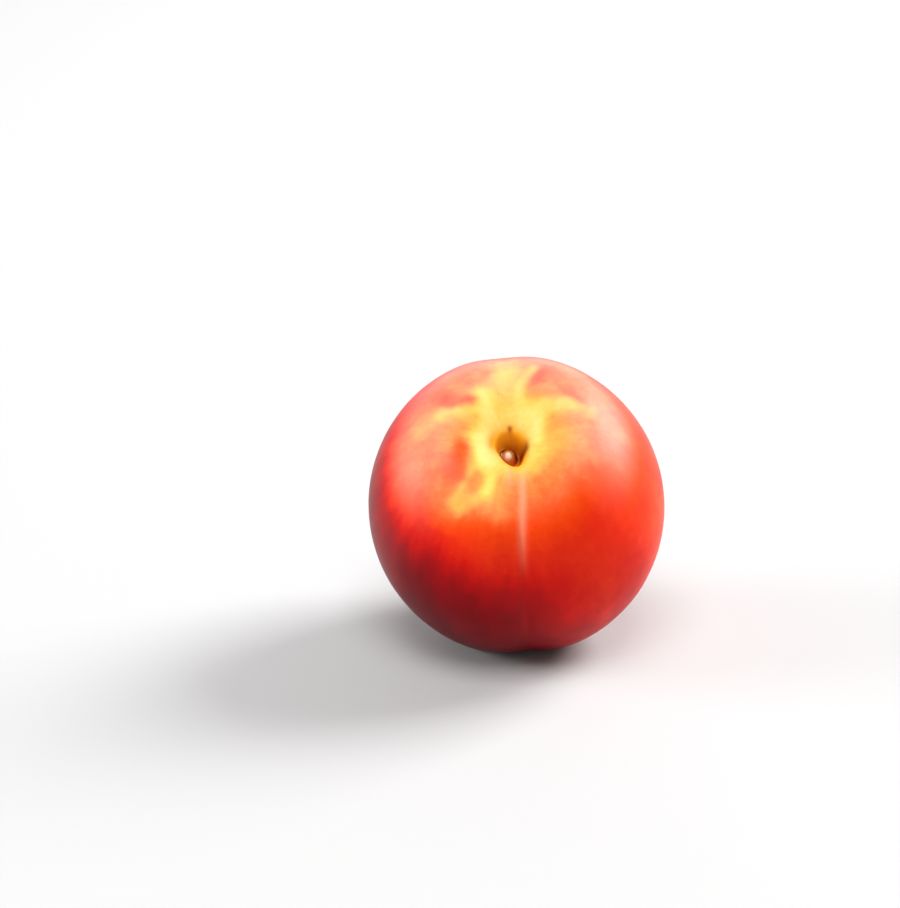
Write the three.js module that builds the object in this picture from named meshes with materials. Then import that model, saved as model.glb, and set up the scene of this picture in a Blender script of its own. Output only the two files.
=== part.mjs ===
// A whole nectarine, as picked: one solid fruit that lies on a small flat spot, with the hollow of its
// stalk towards the front.
//
// Millimetres and degrees. +Z is up, -Y is the front and z = 0 is the surface that the fruit lies on.
// The origin is in the middle of the fruit's footprint, on that surface.
//
// The skin is worked out in the fruit's own frame, before it is laid down. There +Z runs along the core,
// out of the stalk end, and the suture, the crease down one side, faces -Y. A point of the skin is found
// from two angles: down, from the stalk end (0) to the blossom end (pi), and around, from the suture.
import * as THREE from "three";

// The round body
const CHEEK_RADIUS = 35; // half the width across the two cheeks
const SUTURE_RADIUS = 35.6; // half the depth, from the suture to the back
const CROWN_HEIGHT = 36.5; // from the widest girth up to the stalk end, before it is hollowed
const BASE_HEIGHT = 32; // from the widest girth down to the blossom end
const SHOULDER_FULLNESS = 0.02; // how much more girth there is above the middle, as a share
const CHEEK_DIFFERENCE = 0.009; // how much one cheek is fuller than the other, as a share
const BODY_WAVE = 0.2; // how far the girth is from an even round
const BODY_WAVE_TURN = -0.63; // where round the fruit that wave starts, in radians

// The hollow at the stalk end: a wide funnel with a narrow pit, and the scar of the stalk in the pit
const FUNNEL_DEPTH = 10.5;
const FUNNEL_RADIUS = 12.5;
const HOLLOW_OVAL = 1.15; // the hollow is this much longer towards the suture than across it
const PIT_DEPTH = 5.5;
const PIT_MOUTH_RADIUS = 4;
const PIT_FLOOR_RADIUS = 1.8;
const PIT_POINT_LENGTH = 1.3; // the mouth of the pit draws out to a point where the suture runs into it
const PIT_POINT_TURN = 0.2; // where that point is, in radians from the suture
const PIT_POINT_SPREAD = 0.55;
const SCAR_HEIGHT = 1.1;
const SCAR_RADIUS = 1.2;

// Soft folds that run out of the hollow over the shoulders
const FOLD_COUNT = 5;
const FOLD_HEIGHT = 0.33;
const FOLD_TURN = 0.6; // radians
const FOLDS_GROW = [0.12, 0.35]; // from and to, in radians down from the stalk end
const FOLDS_FADE = [0.5, 1.1];

// The suture, a fine crease in a wide trough, and a shallower trough on the back of the shoulders
const CREASE_DEPTH = 0.35;
const CREASE_RADIUS = 1.3;
const TROUGH_DEPTH = 1.3;
const TROUGH_RADIUS = 7;
const SHOULDER_NOTCH = 0.7; // how much deeper the suture cuts where it crosses the shoulders, as a share
const NOTCH_ANGLE = 0.45; // radians down from the stalk end
const NOTCH_SPREAD = 0.22;
const SUTURE_BEND = 0.8; // how far the suture bends aside on its way into the pit
const BEND_SPREAD = 0.6; // radians down from the stalk end
const BACK_TROUGH_DEPTH = 0.8;
const BACK_TROUGH_RADIUS = 6;
const TROUGHS_GROW = [0.14, 0.4]; // from and to, in radians down from the stalk end
const SUTURE_FADES = [1.6, 3];
const BACK_TROUGH_FADES = [0.6, 1.6];

// The blossom end: a shallow dimple with a small point in it
const DIMPLE_DEPTH = 0.9;
const DIMPLE_RADIUS = 9;
const POINT_HEIGHT = 1.4;
const POINT_RADIUS = 3;

// How the fruit lies
const TIP_FORWARD = 38; // from standing upright on its blossom end
const TURN_LEFT = 6; // about the vertical
const SUTURE_SPIN = 9; // about its own core
const CORE_HEIGHT = 32; // from the surface up to the middle of the fruit
const SPOT_BLEND = 0.35; // how softly the skin turns up round the flat spot

// The mesh: segments crowd towards the suture, and rings towards the stalk end
const SEGMENTS = 88;
const RINGS = 52;
const SUTURE_CROWDING = 0.4;
const STALK_CROWDING = 1.6;

const SKIN_COLOUR = new THREE.Color().setRGB(0.83, 0.16, 0.07, THREE.SRGBColorSpace);

const bell = (distance, radius) => Math.exp(-((distance / radius) ** 2));
const rise = (from, to, value) => THREE.MathUtils.smoothstep(value, from, to);

// How far the skin sinks towards the core, along the stalk end or the blossom end, at a point of the body.
function endHollows(x, y, down) {
  if (down > Math.PI / 2) {
    const off = Math.hypot(x, y);
    return POINT_HEIGHT * bell(off, POINT_RADIUS) - DIMPLE_DEPTH * bell(off, DIMPLE_RADIUS);
  }
  const off = Math.hypot(x, y / HOLLOW_OVAL);
  const funnel = FUNNEL_DEPTH * bell(off, FUNNEL_RADIUS);
  const fromPoint = Math.atan2(x, -y) - PIT_POINT_TURN;
  const mouth = PIT_MOUTH_RADIUS + PIT_POINT_LENGTH * bell(fromPoint, PIT_POINT_SPREAD);
  const pit = PIT_DEPTH * (1 - rise(PIT_FLOOR_RADIUS, mouth, off));
  const scar = SCAR_HEIGHT * bell(off, SCAR_RADIUS);
  return funnel + pit - scar;
}

// How deep the suture and the trough on the back are, at a distance x from the plane that both lie in.
function sutureDepth(x, down, around) {
  const facing = Math.cos(around);
  const front = Math.max(facing, 0) ** 2;
  const back = Math.max(-facing, 0) ** 2;
  const grown = rise(...TROUGHS_GROW, down);
  const aside = x - SUTURE_BEND * bell(down, BEND_SPREAD);
  const notch = 1 + SHOULDER_NOTCH * bell(down - NOTCH_ANGLE, NOTCH_SPREAD);
  const trough = TROUGH_DEPTH * bell(aside, TROUGH_RADIUS) * notch;
  const crease = CREASE_DEPTH * bell(aside, CREASE_RADIUS);
  const suture = (trough + crease) * front * grown * (1 - rise(...SUTURE_FADES, down));
  const backTrough = BACK_TROUGH_DEPTH * bell(x, BACK_TROUGH_RADIUS) * back * grown;
  return suture + backTrough * (1 - rise(...BACK_TROUGH_FADES, down));
}

// How far the skin swells out in the soft folds of the shoulders and the slow wave of the body.
function swelling(down, around) {
  const shoulders = rise(...FOLDS_GROW, down) * (1 - rise(...FOLDS_FADE, down));
  const folds = FOLD_HEIGHT * Math.cos(FOLD_COUNT * around + FOLD_TURN) * shoulders;
  const wave = BODY_WAVE * Math.cos(2 * around + BODY_WAVE_TURN) * Math.sin(down) ** 2;
  return folds + wave;
}

// The point of the skin at two angles, in the fruit's own frame.
function skinPoint(down, around) {
  const side = Math.sin(down);
  const up = Math.cos(down);
  const across = Math.sin(around);
  const forward = -Math.cos(around);
  const oval = CHEEK_RADIUS * across ** 2 + SUTURE_RADIUS * forward ** 2;
  const radius = oval * side * (1 + SHOULDER_FULLNESS * up) * (1 + CHEEK_DIFFERENCE * across);
  const x = radius * across;
  const y = radius * forward;
  const z = (up * (CROWN_HEIGHT + BASE_HEIGHT) + up ** 2 * (CROWN_HEIGHT - BASE_HEIGHT)) / 2;
  const outward = new THREE.Vector3(side * across, side * forward, up);
  const relief = swelling(down, around) - sutureDepth(x, down, around);
  return new THREE.Vector3(x, y, z - endHollows(x, y, down)).addScaledVector(outward, relief);
}

// A height above the surface, pressed flat where it is below it and rounded where it is close to it.
function pressed(height) {
  if (height > SPOT_BLEND) return height;
  if (height < -SPOT_BLEND) return 0;
  return (height + SPOT_BLEND) ** 2 / (4 * SPOT_BLEND);
}

// A sphere's u runs round the fruit and its v up it, so both angles come from there.
function fruitGeometry() {
  const geometry = new THREE.SphereGeometry(1, SEGMENTS, RINGS);
  const laid = new THREE.Matrix4().makeRotationZ(THREE.MathUtils.degToRad(-TURN_LEFT));
  laid.multiply(new THREE.Matrix4().makeRotationX(THREE.MathUtils.degToRad(TIP_FORWARD)));
  laid.multiply(new THREE.Matrix4().makeRotationZ(THREE.MathUtils.degToRad(SUTURE_SPIN)));
  const { position, uv } = geometry.attributes;
  for (let i = 0; i < position.count; i++) {
    const turn = 2 * Math.PI * uv.getX(i);
    const around = turn - SUTURE_CROWDING * Math.sin(turn);
    const down = Math.PI * (1 - uv.getY(i)) ** STALK_CROWDING;
    const point = skinPoint(down, around).applyMatrix4(laid);
    position.setXYZ(i, point.x, point.y, pressed(point.z + CORE_HEIGHT));
  }
  geometry.computeBoundingBox();
  const middle = geometry.boundingBox.getCenter(new THREE.Vector3());
  geometry.translate(-middle.x, -middle.y, 0);
  geometry.computeVertexNormals();
  return geometry;
}

const skin = new THREE.MeshStandardMaterial({ color: SKIN_COLOUR, roughness: 0.35, metalness: 0 });
const nectarine = new THREE.Mesh(fruitGeometry(), skin);
nectarine.name = "nectarine";

const fruit = new THREE.Group();
fruit.add(nectarine);

export default fruit;
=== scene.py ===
import math
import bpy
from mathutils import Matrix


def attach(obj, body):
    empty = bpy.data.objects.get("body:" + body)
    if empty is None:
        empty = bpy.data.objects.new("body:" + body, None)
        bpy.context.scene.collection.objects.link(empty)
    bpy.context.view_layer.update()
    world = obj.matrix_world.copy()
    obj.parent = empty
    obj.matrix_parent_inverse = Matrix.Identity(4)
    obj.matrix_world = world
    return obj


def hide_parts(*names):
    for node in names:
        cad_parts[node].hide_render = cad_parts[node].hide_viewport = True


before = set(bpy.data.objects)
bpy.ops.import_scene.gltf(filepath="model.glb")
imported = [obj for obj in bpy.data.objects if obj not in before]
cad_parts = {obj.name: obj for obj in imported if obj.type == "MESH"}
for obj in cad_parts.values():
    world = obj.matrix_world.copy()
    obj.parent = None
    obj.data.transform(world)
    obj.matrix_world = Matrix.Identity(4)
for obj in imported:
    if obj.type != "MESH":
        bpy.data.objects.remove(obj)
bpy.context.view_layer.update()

from types import SimpleNamespace

import bpy
from mathutils import Vector


# The fruit is one piece, a thin waxy skin that grew over firm flesh. Its shape follows a rule that works
# from two angles: how far down from the stalk end a point is, and how far around from the suture. It lies
# on a small spot that its own weight has pressed flat.
class Socket:
    """An output of a node, which Python arithmetic carries on with Math nodes."""

    def __init__(self, graph, output):
        self.graph = graph
        self.output = output

    def __getitem__(self, name):
        return Socket(self.graph, self.output.node.outputs[name])

    def math(self, operation, *others):
        return self.graph.math(operation, self, *others)

    def __add__(self, other):
        return self.math("ADD", other)

    def __radd__(self, other):
        return self.graph.math("ADD", other, self)

    def __sub__(self, other):
        return self.math("SUBTRACT", other)

    def __rsub__(self, other):
        return self.graph.math("SUBTRACT", other, self)

    def __mul__(self, other):
        return self.math("MULTIPLY", other)

    def __rmul__(self, other):
        return self.graph.math("MULTIPLY", other, self)

    def __truediv__(self, other):
        return self.math("DIVIDE", other)

    def __neg__(self):
        return self.math("MULTIPLY", -1)


class Graph:
    """A node tree that is being built, where one method adds any node."""

    def __init__(self, tree):
        self.tree = tree

    def node(self, kind, settings=None, values=None, output=0):
        node = self.tree.nodes.new(kind)
        for name, value in (settings or {}).items():
            if name == "stops":
                set_stops(node.color_ramp, value)
            else:
                setattr(node, name, value)
        for key, value in (values or {}).items():
            if isinstance(value, Socket):
                self.tree.links.new(value.output, node.inputs[key])
            else:
                node.inputs[key].default_value = value
        return Socket(self, node.outputs[output]) if node.outputs else node

    def math(self, operation, *values):
        return self.node("ShaderNodeMath", {"operation": operation}, dict(enumerate(values)))

    def vector_math(self, operation, *values, output=0):
        settings = {"operation": operation}
        return self.node("ShaderNodeVectorMath", settings, dict(enumerate(values)), output)


def set_stops(ramp, stops):
    while len(ramp.elements) > 1:
        ramp.elements.remove(ramp.elements[-1])
    for place, colour in stops:
        element = ramp.elements[0] if place == stops[0][0] else ramp.elements.new(place)
        element.position = place
        element.color = colour


def split(vector):
    return vector.graph.node("ShaderNodeSeparateXYZ", {}, {0: vector})


def joined(x, y, z=0.0):
    return x.graph.node("ShaderNodeCombineXYZ", {}, {"X": x, "Y": y, "Z": z})


def reach(x, y):
    return (x * x + y * y).math("SQRT")


def held(value):
    """A value kept between 0 and 1."""
    return value.math("MAXIMUM", 0).math("MINIMUM", 1)


def bell(distance, radius):
    ratio = distance / radius
    return (-(ratio * ratio)).math("EXPONENT")


def rise(start, end, value):
    values = {"Value": value, "From Min": start, "From Max": end}
    return value.graph.node("ShaderNodeMapRange", {"interpolation_type": "SMOOTHSTEP"}, values)


def between(grows, fades, value):
    """1 between a span where it grows and a span where it fades, and 0 outside them."""
    return rise(*grows, value) * (1 - rise(*fades, value))


def noise(vector, scale, detail=2.0, roughness=0.5):
    """Soft noise about zero, from -1 to 1 at most."""
    values = {"Vector": vector, "Scale": scale, "Detail": detail, "Roughness": roughness}
    return vector.graph.node("ShaderNodeTexNoise", {"noise_dimensions": "3D"}, values) * 2 - 1


# Millimetres, and radians for the angles
fruit_sizes = {
    # The round body
    "cheek_radius": 35.0,
    "suture_radius": 35.6,
    "crown_height": 36.5,
    "base_height": 32.0,
    "shoulder_fullness": 0.02,
    "cheek_difference": 0.009,
    "body_wave": 0.2,
    "body_wave_turn": -0.63,
    # The hollow at the stalk end: a wide funnel with a pit, whose mouth has a point and a lip
    "funnel_depth": 10.5,
    "funnel_radius": 12.5,
    "hollow_oval": 1.15,
    "pit_depth": 5.5,
    "pit_mouth_radius": 4.0,
    "pit_floor_radius": 1.8,
    "pit_point_length": 1.5,
    "pit_point_turn": 0.28,
    "pit_point_spread": 0.45,
    "pit_lip": 0.8,
    "pit_lip_turn": -1.0,
    "pit_lip_spread": 0.6,
    # The scar of the stalk in the pit, and the short crack behind it
    "scar_height": 3.2,
    "scar_radius": 2.0,
    "scar_aside": -0.5,
    "scar_back": 0.4,
    "crack_depth": 0.08,
    "crack_place": 4.7,
    "crack_length": 0.7,
    "crack_width": 0.6,
    "crack_aside": 0.3,
    # Soft folds over the shoulders
    "fold_count": 5.0,
    "fold_height": 0.33,
    "fold_turn": 0.6,
    # The suture, a fine crease in a wide trough, and a shallower trough on the back
    "crease_depth": 0.35,
    "crease_radius": 1.3,
    "trough_depth": 1.3,
    "trough_radius": 7.0,
    "shoulder_notch": 0.7,
    "notch_angle": 0.45,
    "notch_spread": 0.22,
    "suture_bend": 0.8,
    "bend_spread": 0.6,
    "back_trough_depth": 0.8,
    "back_trough_radius": 6.0,
    # The blossom end: a shallow dimple with a small point in it
    "dimple_depth": 0.9,
    "dimple_radius": 9.0,
    "point_height": 1.4,
    "point_radius": 3.0,
    # How uneven the skin is, and how the fruit lies
    "unevenness": 0.12,
    "unevenness_length": 16.0,
    "core_height": 32.0,
    "spot_blend": 0.35,
}
# Where the folds and the troughs grow and fade, in radians down from the stalk end
FOLDS_GROW = (0.12, 0.35)
FOLDS_FADE = (0.5, 1.1)
TROUGHS_GROW = (0.14, 0.4)
SUTURE_FADES = (1.6, 3.0)
BACK_TROUGH_FADES = (0.6, 1.6)
# How the fruit lies: tipped from upright, turned about the vertical, and spun about its own core
TIP_FORWARD = math.radians(38)
TURN_LEFT = math.radians(6)
SUTURE_SPIN = math.radians(9)
MILLIMETRE = 0.001
# The mesh: segments crowd towards the suture, and rings towards the stalk end
FRUIT_SEGMENTS = 384
FRUIT_RINGS = 256
SUTURE_CROWDING = 0.4
STALK_CROWDING = 1.6


def pit_mouth(size, turn):
    """How wide the pit's mouth is on a side: it is round, but for a point by the suture and a lip."""
    point = size.pit_point_length * bell(turn - size.pit_point_turn, size.pit_point_spread)
    lip = size.pit_lip * bell(turn - size.pit_lip_turn, size.pit_lip_spread)
    return size.pit_mouth_radius + point - lip


def crack_cover(size, x, y):
    return bell(x - size.crack_aside, size.crack_width) * bell(y - size.crack_place, size.crack_length)


def suture_off(size, x, down):
    """How far a point is aside from the suture, which bends on its way into the pit."""
    return x - size.suture_bend * bell(down, size.bend_spread)


def end_hollows(size, x, y, down):
    """How far the skin sinks along the core, at the stalk end and at the blossom end."""
    oval_off = reach(x, y / size.hollow_oval)
    funnel = size.funnel_depth * bell(oval_off, size.funnel_radius)
    mouth = pit_mouth(size, x.math("ARCTAN2", -y))
    pit = size.pit_depth * (1 - rise(size.pit_floor_radius, mouth, oval_off))
    crack = size.crack_depth * crack_cover(size, x, y)
    scar_off = reach(x - size.scar_aside, y - size.scar_back)
    scar_share = (scar_off / size.scar_radius).math("MINIMUM", 1)
    scar = size.scar_height * (1 - scar_share * scar_share).math("SQRT")
    off = reach(x, y)
    point = size.point_height * bell(off, size.point_radius)
    dimple = size.dimple_depth * bell(off, size.dimple_radius)
    blossom_half = down.math("GREATER_THAN", math.pi / 2)
    return (funnel + pit + crack - scar) * (1 - blossom_half) + (point - dimple) * blossom_half


def suture_depth(size, x, down, facing):
    """How deep the suture down the front and the trough on the back of the shoulders are."""
    front = facing.math("MAXIMUM", 0)
    back = (-facing).math("MAXIMUM", 0)
    aside = suture_off(size, x, down)
    notch = 1 + size.shoulder_notch * bell(down - size.notch_angle, size.notch_spread)
    trough = size.trough_depth * bell(aside, size.trough_radius) * notch
    crease = size.crease_depth * bell(aside, size.crease_radius)
    suture = (trough + crease) * front * front * between(TROUGHS_GROW, SUTURE_FADES, down)
    back_trough = size.back_trough_depth * bell(x, size.back_trough_radius) * back * back
    return suture + back_trough * between(TROUGHS_GROW, BACK_TROUGH_FADES, down)


def swelling(size, down, around, side):
    """How far the skin swells out in the soft folds of the shoulders and the slow wave of the body."""
    folds = size.fold_height * (size.fold_count * around + size.fold_turn).math("COSINE")
    wave = size.body_wave * (2 * around + size.body_wave_turn).math("COSINE") * side * side
    return folds * between(FOLDS_GROW, FOLDS_FADE, down) + wave


def grown_skin(graph, size):
    """The skin in the fruit's own frame, with the core upright and the suture to the front."""
    ball = graph.node("GeometryNodeMeshUVSphere", {}, {"Segments": FRUIT_SEGMENTS, "Rings": FRUIT_RINGS})
    place = split(graph.node("GeometryNodeInputPosition"))
    turn = place["X"].math("ARCTAN2", -place["Y"])
    around = turn - SUTURE_CROWDING * turn.math("SINE")
    even_down = reach(place["X"], place["Y"]).math("ARCTAN2", place["Z"])
    down = math.pi * (even_down / math.pi).math("POWER", STALK_CROWDING)
    side = down.math("SINE")
    up = down.math("COSINE")
    across = around.math("SINE")
    facing = around.math("COSINE")

    oval = size.cheek_radius * across * across + size.suture_radius * facing * facing
    radius = oval * side * (1 + size.shoulder_fullness * up) * (1 + size.cheek_difference * across)
    x = radius * across
    y = -(radius * facing)
    both_ends = up * (size.crown_height + size.base_height)
    z = (both_ends + up * up * (size.crown_height - size.base_height)) / 2
    outward = joined(side * across, -(side * facing), up)
    uneven = size.unevenness * noise(outward, size.cheek_radius / size.unevenness_length)
    relief = swelling(size, down, around, side) - suture_depth(size, x, down, facing) + uneven
    hollowed = joined(x, y, z - end_hollows(size, x, y, down))
    raised = graph.vector_math("MULTIPLY_ADD", outward, relief, hollowed)

    marked = graph.node(
        "GeometryNodeStoreNamedAttribute",
        {"data_type": "FLOAT_VECTOR", "domain": "POINT"},
        {"Geometry": ball["Mesh"], "Name": "outward", "Value": outward},
    )
    return graph.node("GeometryNodeSetPosition", {}, {"Geometry": marked, "Position": raised})


def laid_down(graph, size, grown):
    """The fruit as it lies, pressed flat where it is below the floor, centred on the origin in metres."""
    spun = graph.node("GeometryNodeTransform", {}, {"Geometry": grown, "Rotation": (0, 0, SUTURE_SPIN)})
    tip = (TIP_FORWARD, 0, -TURN_LEFT)
    tipped = graph.node("GeometryNodeTransform", {}, {"Geometry": spun, "Rotation": tip})
    lying = split(graph.node("GeometryNodeInputPosition"))
    height = lying["Z"] + size.core_height
    eased = held((height + size.spot_blend) / (2 * size.spot_blend))
    clear = (height - size.spot_blend).math("MAXIMUM", 0)
    pressed = joined(lying["X"], lying["Y"], eased * eased * size.spot_blend + clear)
    rested = graph.node("GeometryNodeSetPosition", {}, {"Geometry": tipped, "Position": pressed})

    box = graph.node("GeometryNodeBoundBox", {}, {"Geometry": rested})
    corners = graph.vector_math("ADD", box["Min"], box["Max"])
    middle = graph.vector_math("MULTIPLY", corners, (-0.5, -0.5, 0))
    centred = graph.node("GeometryNodeTransform", {}, {"Geometry": rested, "Translation": middle})
    return graph.node("GeometryNodeTransform", {}, {"Geometry": centred, "Scale": (MILLIMETRE,) * 3})


def fruit_tree(material):
    """The node tree that grows the fruit, with its sizes as inputs."""
    tree = bpy.data.node_groups.new("whole nectarine", "GeometryNodeTree")
    graph = Graph(tree)
    for name, value in fruit_sizes.items():
        label = name.replace("_", " ")
        entry = tree.interface.new_socket(label, in_out="INPUT", socket_type="NodeSocketFloat")
        entry.default_value = value
    tree.interface.new_socket("fruit", in_out="OUTPUT", socket_type="NodeSocketGeometry")
    given = graph.node("NodeGroupInput")
    size = SimpleNamespace(**{name: given[name.replace("_", " ")] for name in fruit_sizes})

    fruit = laid_down(graph, size, grown_skin(graph, size))
    smooth = graph.node("GeometryNodeSetShadeSmooth", {}, {"Geometry": fruit})
    real = graph.node("GeometryNodeRealizeInstances", {}, {"Geometry": smooth})
    skinned = graph.node("GeometryNodeSetMaterial", {}, {"Geometry": real, "Material": material})
    graph.node("NodeGroupOutput", {}, {"fruit": skinned})
    return tree


def grow_fruit(material):
    """The fruit as a plain mesh, made from what the node tree grows on an empty seed."""
    tree = fruit_tree(material)
    seed = bpy.data.objects.new("seed", bpy.data.meshes.new("seed"))
    bpy.context.scene.collection.objects.link(seed)
    modifier = seed.modifiers.new("grown", "NODES")
    modifier.node_group = tree
    for socket in tree.interface.items_tree:
        if socket.in_out == "INPUT":
            modifier[socket.identifier] = fruit_sizes[socket.name.replace(" ", "_")]
    bpy.context.view_layer.update()
    evaluated = seed.evaluated_get(bpy.context.evaluated_depsgraph_get())
    mesh = bpy.data.meshes.new_from_object(evaluated)
    bpy.data.objects.remove(seed)
    fruit = bpy.data.objects.new("nectarine_fruit", mesh)
    bpy.context.scene.collection.objects.link(fruit)
    return fruit


def paint(hex_text):
    """A screen colour, such as "fdd766", as the linear colour that a socket takes."""
    levels = [int(hex_text[i:i + 2], 16) / 255 for i in (0, 2, 4)]
    return tuple(v / 12.92 if v < 0.04045 else ((v + 0.055) / 1.055) ** 2.4 for v in levels) + (1.0,)


def mixed(factor, first, second):
    values = {0: factor, 6: first, 7: second}
    return factor.graph.node("ShaderNodeMix", {"data_type": "RGBA"}, values, output=2)


def shade_of(value, scale):
    """The colour that a value has on a scale of screen colours."""
    low = scale[0][0]
    span = scale[-1][0] - low
    stops = [((place - low) / span, paint(shade)) for place, shade in scale]
    return value.graph.node("ShaderNodeValToRGB", {"stops": stops}, {0: (value - low) / span})


# How ripe the skin looks, from the pale yellow ground up to deep crimson
RIPENESS = [
    (-0.25, "fae395"),
    (-0.15, "f8da7c"),
    (-0.05, "f6c658"),
    (0.03, "f5ad50"),
    (0.12, "f49048"),
    (0.20, "f47034"),
    (0.28, "f6561a"),
    (0.40, "f04006"),
    (0.55, "df2603"),
    (0.70, "cd1003"),
    (0.85, "b20706"),
    (1.10, "8c040c"),
    (1.60, "62030e"),
]

# What repeats over the skin, by how often it does so in a metre, and the streaks by how fine they are round
# the fruit and down it
CLOUDS_PER_METRE = 70.0
MOTTLE_PER_METRE = 500.0
GRAIN_PER_METRE = 1800.0
PORES_PER_METRE = 330.0
FRECKLES_PER_METRE = 210.0
STREAK_FINENESS = (5, 2)
FINE_STREAK_FINENESS = (26, 4)
FINE_STREAKS_FADE = (0.6, 1.3)
# The soft edge of a dot in its cell, and the span of chance that decides which cells have one
PORE_EDGE = (0.04, 0.12)
PORE_CHANCE = (0.35, 0.9)
FRECKLE_EDGE = (0.02, 0.07)
FRECKLE_CHANCE = (0.86, 0.92)
FRECKLES_START = (0.25, 0.5)
NO_ZERO = 0.000001  # keeps a division from being by zero on the core itself


def skin_place(graph):
    """Where a point of the skin is, in the measures that the marks on it follow."""
    outward = graph.node("ShaderNodeAttribute", {"attribute_name": "outward"}, {}, output="Vector")
    way = split(outward)
    side = (way["X"] * way["X"] + way["Y"] * way["Y"] + NO_ZERO).math("SQRT")
    x = way["X"] * fruit_sizes["cheek_radius"]
    y = way["Y"] * fruit_sizes["suture_radius"]
    return SimpleNamespace(
        outward=outward,
        place=graph.node("ShaderNodeTexCoord", {}, {}, output="Object"),
        down=side.math("ARCTAN2", way["Z"]),
        across=way["X"] / side,
        facing=-(way["Y"] / side),
        stalk_half=way["Z"].math("GREATER_THAN", 0),
        x=x,
        y=y,
        turn=x.math("ARCTAN2", -y),
    )


def streaked(skin, fineness, detail):
    """Noise that is drawn out down the fruit."""
    fine_round, fine_down = fineness
    place = joined(skin.across * fine_round, skin.facing * fine_round, skin.down * fine_down)
    return noise(place, 1.0, detail, roughness=0.6)


def dotted(place, per_metre, edge, chance):
    """Round dots, each in a cell of its own, where chance leaves some cells empty."""
    graph = place.graph
    values = {"Vector": place, "Scale": per_metre}
    cell = graph.node("ShaderNodeTexVoronoi", {}, values, output="Distance")
    draw = graph.node("ShaderNodeSeparateColor", {}, {0: cell["Color"]})["Red"]
    return (1 - rise(*edge, cell)) * rise(*chance, draw)


def skin_marks(skin):
    """What repeats over the whole skin: streaks, clouds, pores and freckles."""
    fine_streaks = streaked(skin, FINE_STREAK_FINENESS, detail=2.0)
    freckles = dotted(skin.place, FRECKLES_PER_METRE, FRECKLE_EDGE, FRECKLE_CHANCE)
    return SimpleNamespace(
        streaks=streaked(skin, STREAK_FINENESS, detail=3.0),
        fine_streaks=fine_streaks * (1 - rise(*FINE_STREAKS_FADE, skin.down)),
        clouds=noise(skin.place, CLOUDS_PER_METRE, detail=3.0, roughness=0.55),
        mottle=noise(skin.place, MOTTLE_PER_METRE, detail=3.0, roughness=0.65),
        grain=noise(skin.place, GRAIN_PER_METRE, detail=2.0, roughness=0.6),
        pores=dotted(skin.place, PORES_PER_METRE, PORE_EDGE, PORE_CHANCE),
        freckles=freckles * rise(*FRECKLES_START, skin.down),
    )


# The blush, in steps of ripeness. Its spans are in radians down from the stalk end, and those of a side are
# in shares of the way to it. The deep crimson that it gives the left cheek and the lower half is partly the
# fruit's own colour and partly painted shade.
LEFT_CHEEK = (-0.6, 0.5)
FRONT = (0.1, 0.8)
REAR = (-0.1, 1.0)
BLOSSOM_END = (2.1, 2.8)  # where the cheeks, the front and the back run into one
LEFT_SHARE_AT_END = 0.4
STREAKS_START = (0.4, 0.7)
STREAKS_SHIFT = 0.11  # how far a streak carries the blush up or down
CLOUDS_SHIFT = 0.1
SHOULDER_RIPENESS = 0.13
UPPER_SHOULDER = (0.35, 0.65)
UPPER_SHOULDER_STEP = 0.10
LOWER_SHOULDER = (0.7, 1.1)
LOWER_SHOULDER_STEP = 0.2
PALE_PATCH_SIDE = (0.3, 0.8)
PALE_PATCH_PLACE = 0.6
PALE_PATCH_SPREAD = 0.18
PALE_PATCH_STEP = 0.06
FRONT_RIPENESS = -0.01
FRONT_SLOPE = 0.48
FRONT_LEVELS_OFF = 0.85
FRONT_REDDENS = (0.45, 0.85)
FRONT_RED_STEP = 0.14
CHEEKS_REDDEN = (0.75, 1.36)
CHEEK_STEP = 0.03
# the left cheek's and the lower half's deep crimson: partly the fruit's own colour, partly painted shade
LEFT_CHEEK_CRIMSON_AND_SHADE = 0.75
REAR_STEP = 0.3
LOWER_HALF_DARKENS = (1.15, 2.1)
LOWER_CRIMSON_AND_SHADE = 0.2
LOWER_LEFT_CRIMSON_AND_SHADE = 0.32
END_PALES = (2.45, 3.05)
END_STEP = 0.75
END_CLOUDS_SHIFT = 0.25


def blushed(skin, marks):
    """How ripe the skin looks, before the hollow, the strokes and the marks are on it."""
    end = rise(*BLOSSOM_END, skin.down)
    left = rise(*LEFT_CHEEK, -skin.across)
    left = left + (LEFT_SHARE_AT_END - left) * end
    front = rise(*FRONT, skin.facing) * (1 - end)
    rear = rise(*REAR, -skin.facing) * (1 - end)
    streaks = STREAKS_SHIFT * marks.streaks * rise(*STREAKS_START, skin.down) * (1 - end)
    edge = skin.down + streaks + CLOUDS_SHIFT * marks.clouds

    shoulder = SHOULDER_RIPENESS + UPPER_SHOULDER_STEP * rise(*UPPER_SHOULDER, edge)
    shoulder = shoulder + LOWER_SHOULDER_STEP * rise(*LOWER_SHOULDER, edge)
    pale_side = rise(*PALE_PATCH_SIDE, -skin.across)
    pale_patch = pale_side * bell(skin.down - PALE_PATCH_PLACE, PALE_PATCH_SPREAD)
    shoulder = shoulder - PALE_PATCH_STEP * pale_patch
    front_skin = FRONT_RIPENESS + FRONT_SLOPE * skin.down.math("MINIMUM", FRONT_LEVELS_OFF)
    front_skin = front_skin + FRONT_RED_STEP * rise(*FRONT_REDDENS, skin.down)
    ripeness = shoulder + (front_skin - shoulder) * front

    # deeper crimson on the left cheek and the lower half: partly the fruit's own colour, partly painted
    # shade
    cheeks = CHEEK_STEP + LEFT_CHEEK_CRIMSON_AND_SHADE * left + REAR_STEP * rear * (1 - left)
    ripeness = ripeness + rise(*CHEEKS_REDDEN, edge) * cheeks
    ripeness = ripeness + (LOWER_CRIMSON_AND_SHADE + LOWER_LEFT_CRIMSON_AND_SHADE * left) * rise(*LOWER_HALF_DARKENS, edge)
    return ripeness - END_STEP * rise(*END_PALES, skin.down + END_CLOUDS_SHIFT * marks.clouds)


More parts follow.
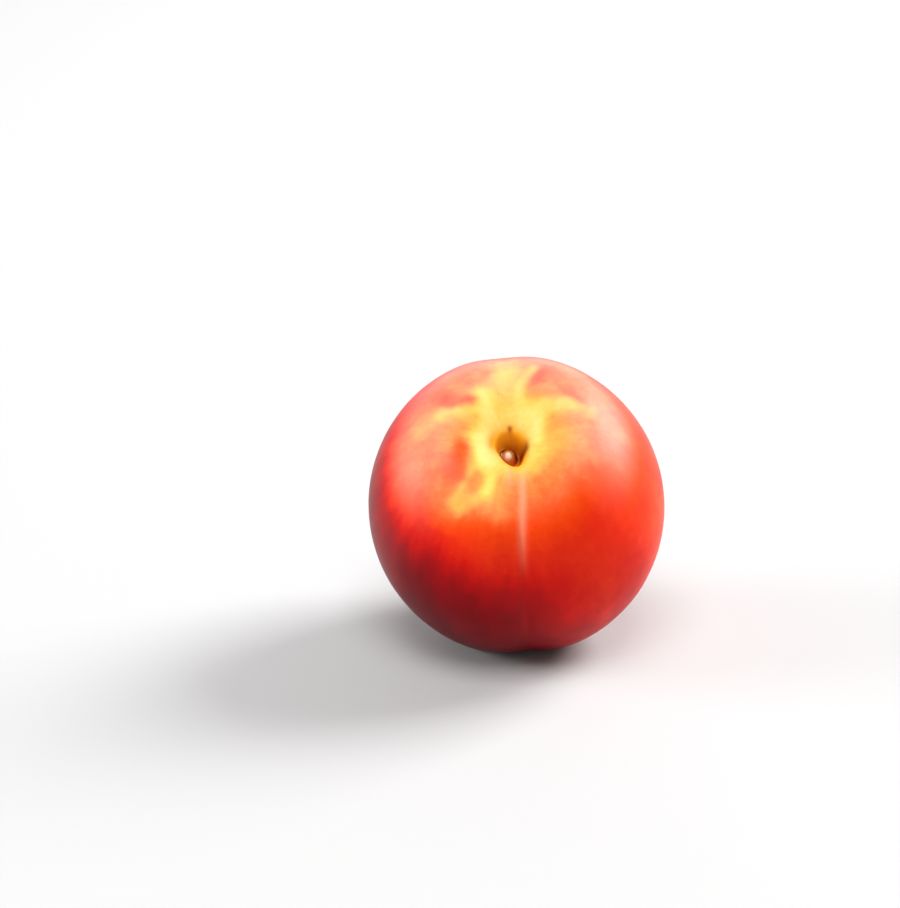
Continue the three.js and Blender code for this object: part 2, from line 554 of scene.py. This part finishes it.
# The star round the hollow and the red skin between its arms, as soft strokes on the stalk end laid out
# flat: across the fruit and towards the suture, in radians. Each runs from one point to another, with its
# half width at both and its ripeness, and a later one lies over those before it.
STAR_STROKES = [
    ((-0.10, 0.30), (-0.13, 0.52), 0.13, 0.10, 0.13),
    ((-0.48, 0.24), (-0.48, 0.46), 0.14, 0.12, 0.18),
    ((0.224, -0.03), (0.38, 0.02), 0.12, 0.12, 0.06),
    ((-0.45, -0.24), (-0.60, -0.185), 0.07, 0.10, 0.06),
    ((-0.16, -0.265), (-0.46, -0.25), 0.065, 0.05, -0.05),
    ((0.385, -0.215), (0.53, -0.19), 0.07, 0.09, 0.06),
    ((0.14, -0.23), (0.42, -0.225), 0.085, 0.06, -0.06),
    ((0.02, -0.56), (0.05, -0.72), 0.12, 0.12, 0.12),
    ((0.10, -0.43), (0.22, -0.59), 0.055, 0.06, 0.02),
    ((-0.008, -0.16), (0.024, -0.55), 0.08, 0.12, -0.03),
    ((-0.112, -0.16), (-0.15, -0.38), 0.07, 0.07, -0.12),
    ((0.08, -0.16), (0.112, -0.43), 0.055, 0.05, -0.10),
    ((-0.22, 0.39), (-0.36, 0.46), 0.075, 0.075, 0.05),
    ((-0.26, 0.17), (-0.40, 0.44), 0.045, 0.05, 0.01),
    ((-0.11, 0.12), (-0.18, 0.37), 0.06, 0.055, -0.07),
    ((-0.16, 0.096), (-0.184, -0.048), 0.07, 0.07, -0.17),
    ((0.16, -0.032), (0.176, -0.16), 0.065, 0.065, -0.14),
]
RED_STROKES = [
    ((-0.47, -0.47), (-0.39, -0.37), 0.06, 0.05, 0.24),
    ((-0.40, -0.375), (-0.37, -0.345), 0.035, 0.035, 0.36),
    ((-0.35, -0.34), (-0.225, -0.335), 0.045, 0.04, 0.23),
    ((-0.31, 0.02), (-0.375, 0.22), 0.06, 0.075, 0.30),
    ((-0.23, 0.25), (-0.27, 0.32), 0.038, 0.042, 0.14),
    ((0.32, -0.61), (0.205, -0.42), 0.05, 0.045, 0.34),
    ((0.34, -0.36), (0.52, -0.28), 0.045, 0.045, 0.27),
    ((0.19, -0.37), (0.30, -0.35), 0.055, 0.05, 0.13),
    ((-0.12, -0.62), (-0.22, -0.52), 0.06, 0.07, 0.17),
]
HOLLOW_ENDS = (0.14, 0.34)
HOLLOW_RIPENESS = -0.1
WANDER = 0.035  # how far the strokes stray from their lines, in radians
WANDER_FINENESS = 9.0
NOISE_MIDDLE = (0.5, 0.5, 0.5)
STROKE_FULLNESS = 1.05
STROKE_RAGGEDNESS = 0.35
RAGGED_FINENESS = 7.0


def stroke_cover(place, breadth, start, end, start_width, end_width):
    """How fully a stroke covers a place: 1 along its line, 0 beyond its soft edge."""
    graph = place.graph
    run = Vector(end) - Vector(start)
    from_start = graph.vector_math("SUBTRACT", place, (*start, 0))
    share = (*(run / run.length_squared), 0)
    along = held(graph.vector_math("DOT_PRODUCT", from_start, share, output="Value"))
    nearest = graph.vector_math("MULTIPLY", (*run, 0), along)
    off = graph.vector_math("DISTANCE", from_start, nearest, output="Value")
    return bell(off, (start_width + (end_width - start_width) * along) * breadth)


def starred(ripeness, skin):
    """The ripeness with the yellow of the hollow and the strokes round it."""
    graph = ripeness.graph
    values = {"Vector": skin.outward, "Scale": WANDER_FINENESS, "Detail": 3.0}
    straying = graph.node("ShaderNodeTexNoise", {}, values, output="Color")
    straying = graph.vector_math("SUBTRACT", straying, NOISE_MIDDLE)
    laid_out = joined(skin.across * skin.down, skin.facing * skin.down)
    place = graph.vector_math("MULTIPLY_ADD", straying, (WANDER, WANDER, 0), laid_out)
    ragged = noise(skin.outward, RAGGED_FINENESS, detail=3.0, roughness=0.6)
    breadth = STROKE_FULLNESS + STROKE_RAGGEDNESS * ragged
    ripeness = ripeness + (HOLLOW_RIPENESS - ripeness) * (1 - rise(*HOLLOW_ENDS, skin.down))
    for start, end, start_width, end_width, level in STAR_STROKES + RED_STROKES:
        cover = stroke_cover(place, breadth, start, end, start_width, end_width)
        ripeness = ripeness + (level - ripeness) * cover
    return ripeness


# How much the small marks change the ripeness on the upper half, and how much more on the lower half
LOWER_HALF = (0.9, 1.6)
STREAKS_UPPER = 0.06
STREAKS_LOWER = 0.16
MOTTLE_STEP = 0.07
FINE_STREAKS_STEP = 0.012
PORES_UPPER = 0.07
PORES_LOWER = 0.12
FRECKLES_STEP = 0.3


def speckled(ripeness, skin, marks):
    """The ripeness with the streaks, the clouds, the pale pores and the dark freckles."""
    lower = rise(*LOWER_HALF, skin.down)
    streaks = marks.streaks * (1 - rise(*BLOSSOM_END, skin.down))
    ripeness = ripeness + (streaks + marks.clouds) * (STREAKS_UPPER + STREAKS_LOWER * lower)
    ripeness = ripeness + MOTTLE_STEP * marks.mottle + FINE_STREAKS_STEP * marks.fine_streaks
    return ripeness - marks.pores * (PORES_UPPER + PORES_LOWER * lower) + FRECKLES_STEP * marks.freckles


# A painted sheen: a pale painted highlight over the shoulders, away from the front
PAINTED_SHEEN_GROWS = (0.3, 0.5)
PAINTED_SHEEN_FADES = (0.75, 1.0)
PAINTED_SHEEN_COLOUR = "ffd4dc"
PAINTED_SHEEN_STRENGTH = 0.14
# Painted light along the suture: two pale lines of painted highlight beside the crease and a dark line of
# painted shade in it. For each: how far aside in mm, how far it comes in over the span below, its half
# width in mm, where it grows and fades down the fruit, its strength and its colour
SUTURE_LIGHTS_COME_IN = (0.3, 0.9)
SUTURE_HIGHLIGHTS_AND_SHADE = [
    (1.2, 1.1, 0.95, (0.15, 0.3), (0.5, 1.05), 0.5, "ffb48c"),
    (-1.6, 0, 0.9, (0.12, 0.2), (0.26, 0.4), 0.36, "ffb48c"),
    (-0.2, 0, 0.5, (0.5, 0.8), (1.2, 2.4), 0.16, "a81404"),
]


def with_painted_sheen(colour, skin):
    front = rise(*FRONT, skin.facing) * (1 - rise(*BLOSSOM_END, skin.down))
    # a pale painted highlight mixed over the shoulders
    painted_sheen = between(PAINTED_SHEEN_GROWS, PAINTED_SHEEN_FADES, skin.down) * (1 - front)
    return mixed(painted_sheen * PAINTED_SHEEN_STRENGTH, colour, paint(PAINTED_SHEEN_COLOUR))


def suture_lit_and_shaded(colour, size, skin):
    """The colour with two pale painted highlights and one dark painted shade line along the suture."""
    aside = suture_off(size, skin.x, skin.down)
    front = skin.facing.math("GREATER_THAN", 0)
    for place, comes_in, width, grows, fades, strength, shade in SUTURE_HIGHLIGHTS_AND_SHADE:
        # pale painted highlights beside the crease, and painted shade in it
        off = aside - place + comes_in * rise(*SUTURE_LIGHTS_COME_IN, skin.down)
        cover = bell(off, width) * between(grows, fades, skin.down) * front
        colour = mixed(cover * strength, colour, paint(shade))
    return colour


# The pit and the scar of the stalk in it. Distances are in mm from the core, and turns are in radians from
# the suture.
PIT_COLOURS = [(0.0, "ffb42c"), (0.25, "ffac20"), (0.5, "ffaa22"), (0.75, "ff921a"), (1.0, "dc6814")]
PIT_COLOURS_START = (1.4, 4.0)
PIT_EDGE = (0.85, 1.2)  # in shares of the mouth
GLOW_COLOUR = "f7932a"
GLOW_WIDTH = 1.25
GLOW_LEAST = 0.35
GLOW_TURN = -1.95
GLOW_SPREAD = 0.65
GLOW_FADES = (-0.2, 0.7)
# Painted shade on the right wall of the pit
PIT_SHADE_COLOUR = "6e1c04"
PIT_SHADE_TURN = 1.45
PIT_SHADE_SPREAD = 0.6
PIT_SHADE_START = (1.2, 2.2)
PIT_SHADE_STRENGTH = 0.85
# The scar's colours out from a near-white painted highlight, through browns that darken away from it
SCAR_BROWNS_AND_HIGHLIGHT = [
    (0.0, "fffaf2"),
    (0.24, "ffeed8"),
    (0.42, "d89458"),
    (0.65, "b8682c"),
    (0.88, "5c2008"),
    (1.0, "4a1806"),
]
SCAR_EDGE = 0.2
SCAR_HIGHLIGHT_PLACE = (-0.2, -0.7)  # where the painted highlight is, from the middle of the scar
SCAR_HIGHLIGHT_SPAN = 2.1
SCAR_GRAIN_PER_METRE = 900.0
SCAR_GRAIN = 0.12
CRACK_COLOUR = "b4520c"
BLOSSOM_TIP_COLOUR = "7c4a1e"
BLOSSOM_TIP_RADIUS = 1.2
BLOSSOM_TIP_STRENGTH = 0.85


def scar_cover(size, skin):
    off = reach(skin.x - size.scar_aside, skin.y - size.scar_back)
    return 1 - rise(size.scar_radius - SCAR_EDGE, size.scar_radius + SCAR_EDGE, off)


def pit_cover(size, skin):
    oval_off = reach(skin.x, skin.y / size.hollow_oval)
    return (1 - rise(*PIT_EDGE, oval_off / pit_mouth(size, skin.turn))) * skin.stalk_half


def pitted(colour, size, skin):
    """The colour with the browns of the pit and painted shade on its right wall, the scar in it with a
    painted highlight, the crack behind it and the blossom's tip.
    """
    oval_off = reach(skin.x, skin.y / size.hollow_oval)
    rim_off = oval_off - pit_mouth(size, skin.turn)
    glow_side = GLOW_LEAST + (1 - GLOW_LEAST) * bell(skin.turn - GLOW_TURN, GLOW_SPREAD)
    glow = bell(rim_off, GLOW_WIDTH) * glow_side * (1 - rise(*GLOW_FADES, skin.facing))
    colour = mixed(glow * skin.stalk_half, colour, paint(GLOW_COLOUR))

    brown = shade_of(1 - rise(*PIT_COLOURS_START, oval_off), PIT_COLOURS)
    # painted shade on the pit's right wall
    pit_wall_shade = bell(skin.turn - PIT_SHADE_TURN, PIT_SHADE_SPREAD) * rise(*PIT_SHADE_START, oval_off)
    brown = mixed(pit_wall_shade * PIT_SHADE_STRENGTH, brown, paint(PIT_SHADE_COLOUR))
    # a painted highlight on the scar, with browns that darken away from it
    highlight_x = skin.x - size.scar_aside - SCAR_HIGHLIGHT_PLACE[0]
    highlight_y = skin.y - size.scar_back - SCAR_HIGHLIGHT_PLACE[1]
    grain = SCAR_GRAIN * noise(skin.place, SCAR_GRAIN_PER_METRE)
    scar_with_highlight = shade_of(reach(highlight_x, highlight_y) / SCAR_HIGHLIGHT_SPAN + grain, SCAR_BROWNS_AND_HIGHLIGHT)
    brown = mixed(scar_cover(size, skin), brown, scar_with_highlight)
    colour = mixed(pit_cover(size, skin), colour, brown)

    colour = mixed(crack_cover(size, skin.x, skin.y) * skin.stalk_half, colour, paint(CRACK_COLOUR))
    blossom_tip = bell(oval_off, BLOSSOM_TIP_RADIUS) * (1 - skin.stalk_half)
    return mixed(blossom_tip * BLOSSOM_TIP_STRENGTH, colour, paint(BLOSSOM_TIP_COLOUR))


# The gloss of the skin, and its grain and pores, which are too fine for the mesh
SKIN_ROUGHNESS = 0.38
CLOUDS_ROUGHNESS = 0.05
PIT_ROUGHNESS = 0.15
GRAIN_SHARE = 0.4
BUMP_STRENGTH = 0.5
BUMP_HEIGHT = 0.04 * MILLIMETRE
finish_all_over = {
    "Specular IOR Level": 0.13,
    "IOR": 1.4,
    "Coat IOR": 1.6,
    "Coat Roughness": 0.18,
    "Subsurface Weight": 0.08,
    "Subsurface Radius": (0.004, 0.001, 0.0004),
    "Subsurface Scale": 1.0,
}


def waxy_skin():
    """The one material of the fruit: glossy skin, a dull pit, and a shiny scar of the stalk in it."""
    material = bpy.data.materials.new("waxy nectarine skin")
    material.use_nodes = True
    graph = Graph(material.node_tree)
    shader = material.node_tree.nodes["Principled BSDF"]
    for name, value in finish_all_over.items():
        shader.inputs[name].default_value = value

    size = SimpleNamespace(**fruit_sizes)
    skin = skin_place(graph)
    marks = skin_marks(skin)
    ripeness = blushed(skin, marks)
    ripeness = starred(ripeness, skin)
    ripeness = speckled(ripeness, skin, marks)
    colour = shade_of(ripeness, RIPENESS)
    colour = with_painted_sheen(colour, skin)
    colour = suture_lit_and_shaded(colour, size, skin)
    colour = pitted(colour, size, skin)

    scar = scar_cover(size, skin)
    dull = pit_cover(size, skin) * (1 - scar)
    height = GRAIN_SHARE * marks.grain - marks.pores + marks.clouds
    relief = {"Strength": BUMP_STRENGTH, "Distance": BUMP_HEIGHT, "Height": height}
    varied = {
        "Base Color": colour,
        "Roughness": SKIN_ROUGHNESS + CLOUDS_ROUGHNESS * marks.clouds + PIT_ROUGHNESS * dull,
        "Coat Weight": scar * skin.stalk_half,
        "Normal": graph.node("ShaderNodeBump", {}, relief),
    }
    for name, value in varied.items():
        graph.tree.links.new(value.output, shader.inputs[name])
    return material


nectarine = grow_fruit(waxy_skin())
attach(nectarine, "root")
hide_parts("nectarine")


# The floor is one flat sheet of matt white paper under the fruit, cut so wide that its edge runs into the
# white of the horizon from every side.
FLOOR_REACH = 2.6
FLOOR_GREY = 0.53
FLOOR_ROUGHNESS = 0.9
floor_mesh = bpy.data.meshes.new("floor")
corners = [(FLOOR_REACH * x, FLOOR_REACH * y, 0) for x, y in ((-1, -1), (1, -1), (1, 1), (-1, 1))]
floor_mesh.from_pydata(corners, [], [(0, 1, 2, 3)])
floor = bpy.data.objects.new("floor", floor_mesh)
bpy.context.scene.collection.objects.link(floor)
white = bpy.data.materials.new("white paper")
white.use_nodes = True
paper = white.node_tree.nodes["Principled BSDF"]
paper.inputs["Base Color"].default_value = (FLOOR_GREY, FLOOR_GREY, FLOOR_GREY, 1)
paper.inputs["Roughness"].default_value = FLOOR_ROUGHNESS
floor_mesh.materials.append(white)


# The light is that of a small studio. Four rectangular soft boxes stand three metres off, at the left, at
# the right, behind and overhead. The room is white at the horizon and dim above it.
HORIZON = (0.03, 0.2)
HORIZON_BRIGHTNESS = 1.0
CEILING_BRIGHTNESS = 0.25
BOX_DISTANCE = 3.0

room = bpy.data.worlds.new("white room")
room.use_nodes = True
outlook = Graph(room.node_tree).node("ShaderNodeTexCoord", {}, {}, output="Generated")
dimming = (HORIZON_BRIGHTNESS - CEILING_BRIGHTNESS) * rise(*HORIZON, split(outlook)["Z"])
brightness = HORIZON_BRIGHTNESS - dimming
background = room.node_tree.nodes["Background"]
background.inputs["Color"].default_value = (1, 1, 1, 1)
room.node_tree.links.new(brightness.output, background.inputs["Strength"])
bpy.context.scene.world = room

core = Vector((0, 0, fruit_sizes["core_height"] * MILLIMETRE))


def soft_box(name, direction, width, height, power):
    """A rectangular light that faces the fruit from a direction."""
    lamp = bpy.data.lights.new(name, "AREA")
    lamp.shape = "RECTANGLE"
    lamp.size = width
    lamp.size_y = height
    lamp.energy = power
    light = bpy.data.objects.new(name, lamp)
    away = Vector(direction).normalized()
    light.location = core + away * BOX_DISTANCE
    light.rotation_euler = away.to_track_quat("Z", "Y").to_euler()
    light.visible_camera = False
    bpy.context.scene.collection.objects.link(light)


soft_box("left soft box", (-0.95, -0.02, 0.32), 1.4, 1.1, 55)
soft_box("right soft box", (0.72, 0.42, 0.57), 1.5, 1.5, 132)
soft_box("back soft box", (0.1, 1.0, 0.3), 4.4, 1.4, 36)
soft_box("overhead soft box", (-0.05, -0.45, 1.0), 1.8, 1.8, 60)


# The camera stands half a metre in front of the fruit and looks down at it by 20 degrees. It is moved
# aside and up just enough for the core to be where the photograph has it.
PHOTO_WIDTH = 900
PHOTO_HEIGHT = 908
CORE_SEEN_AT = (516.0, 507.4)  # in pixels of the photograph
SENSOR = 36.0
LENS = 85.0
CAMERA_DISTANCE = 0.507
CAMERA_PITCH = math.radians(20)
focal_pixels = LENS / SENSOR * PHOTO_HEIGHT
rightward = Vector((1, 0, 0))
forward = Vector((0, math.cos(CAMERA_PITCH), -math.sin(CAMERA_PITCH)))
upward = Vector((0, math.sin(CAMERA_PITCH), math.cos(CAMERA_PITCH)))
core_right = (CORE_SEEN_AT[0] - PHOTO_WIDTH / 2) / focal_pixels
core_up = (PHOTO_HEIGHT / 2 - CORE_SEEN_AT[1]) / focal_pixels
lens = bpy.data.cameras.new("camera")
lens.lens = LENS
lens.sensor_width = SENSOR
lens.sensor_height = SENSOR
camera = bpy.data.objects.new("camera", lens)
camera.location = core - CAMERA_DISTANCE * (forward + core_right * rightward + core_up * upward)
camera.rotation_euler = (math.pi / 2 - CAMERA_PITCH, 0, 0)
bpy.context.scene.collection.objects.link(camera)
bpy.context.scene.camera = camera
bpy.context.scene.view_settings.view_transform = "Standard"
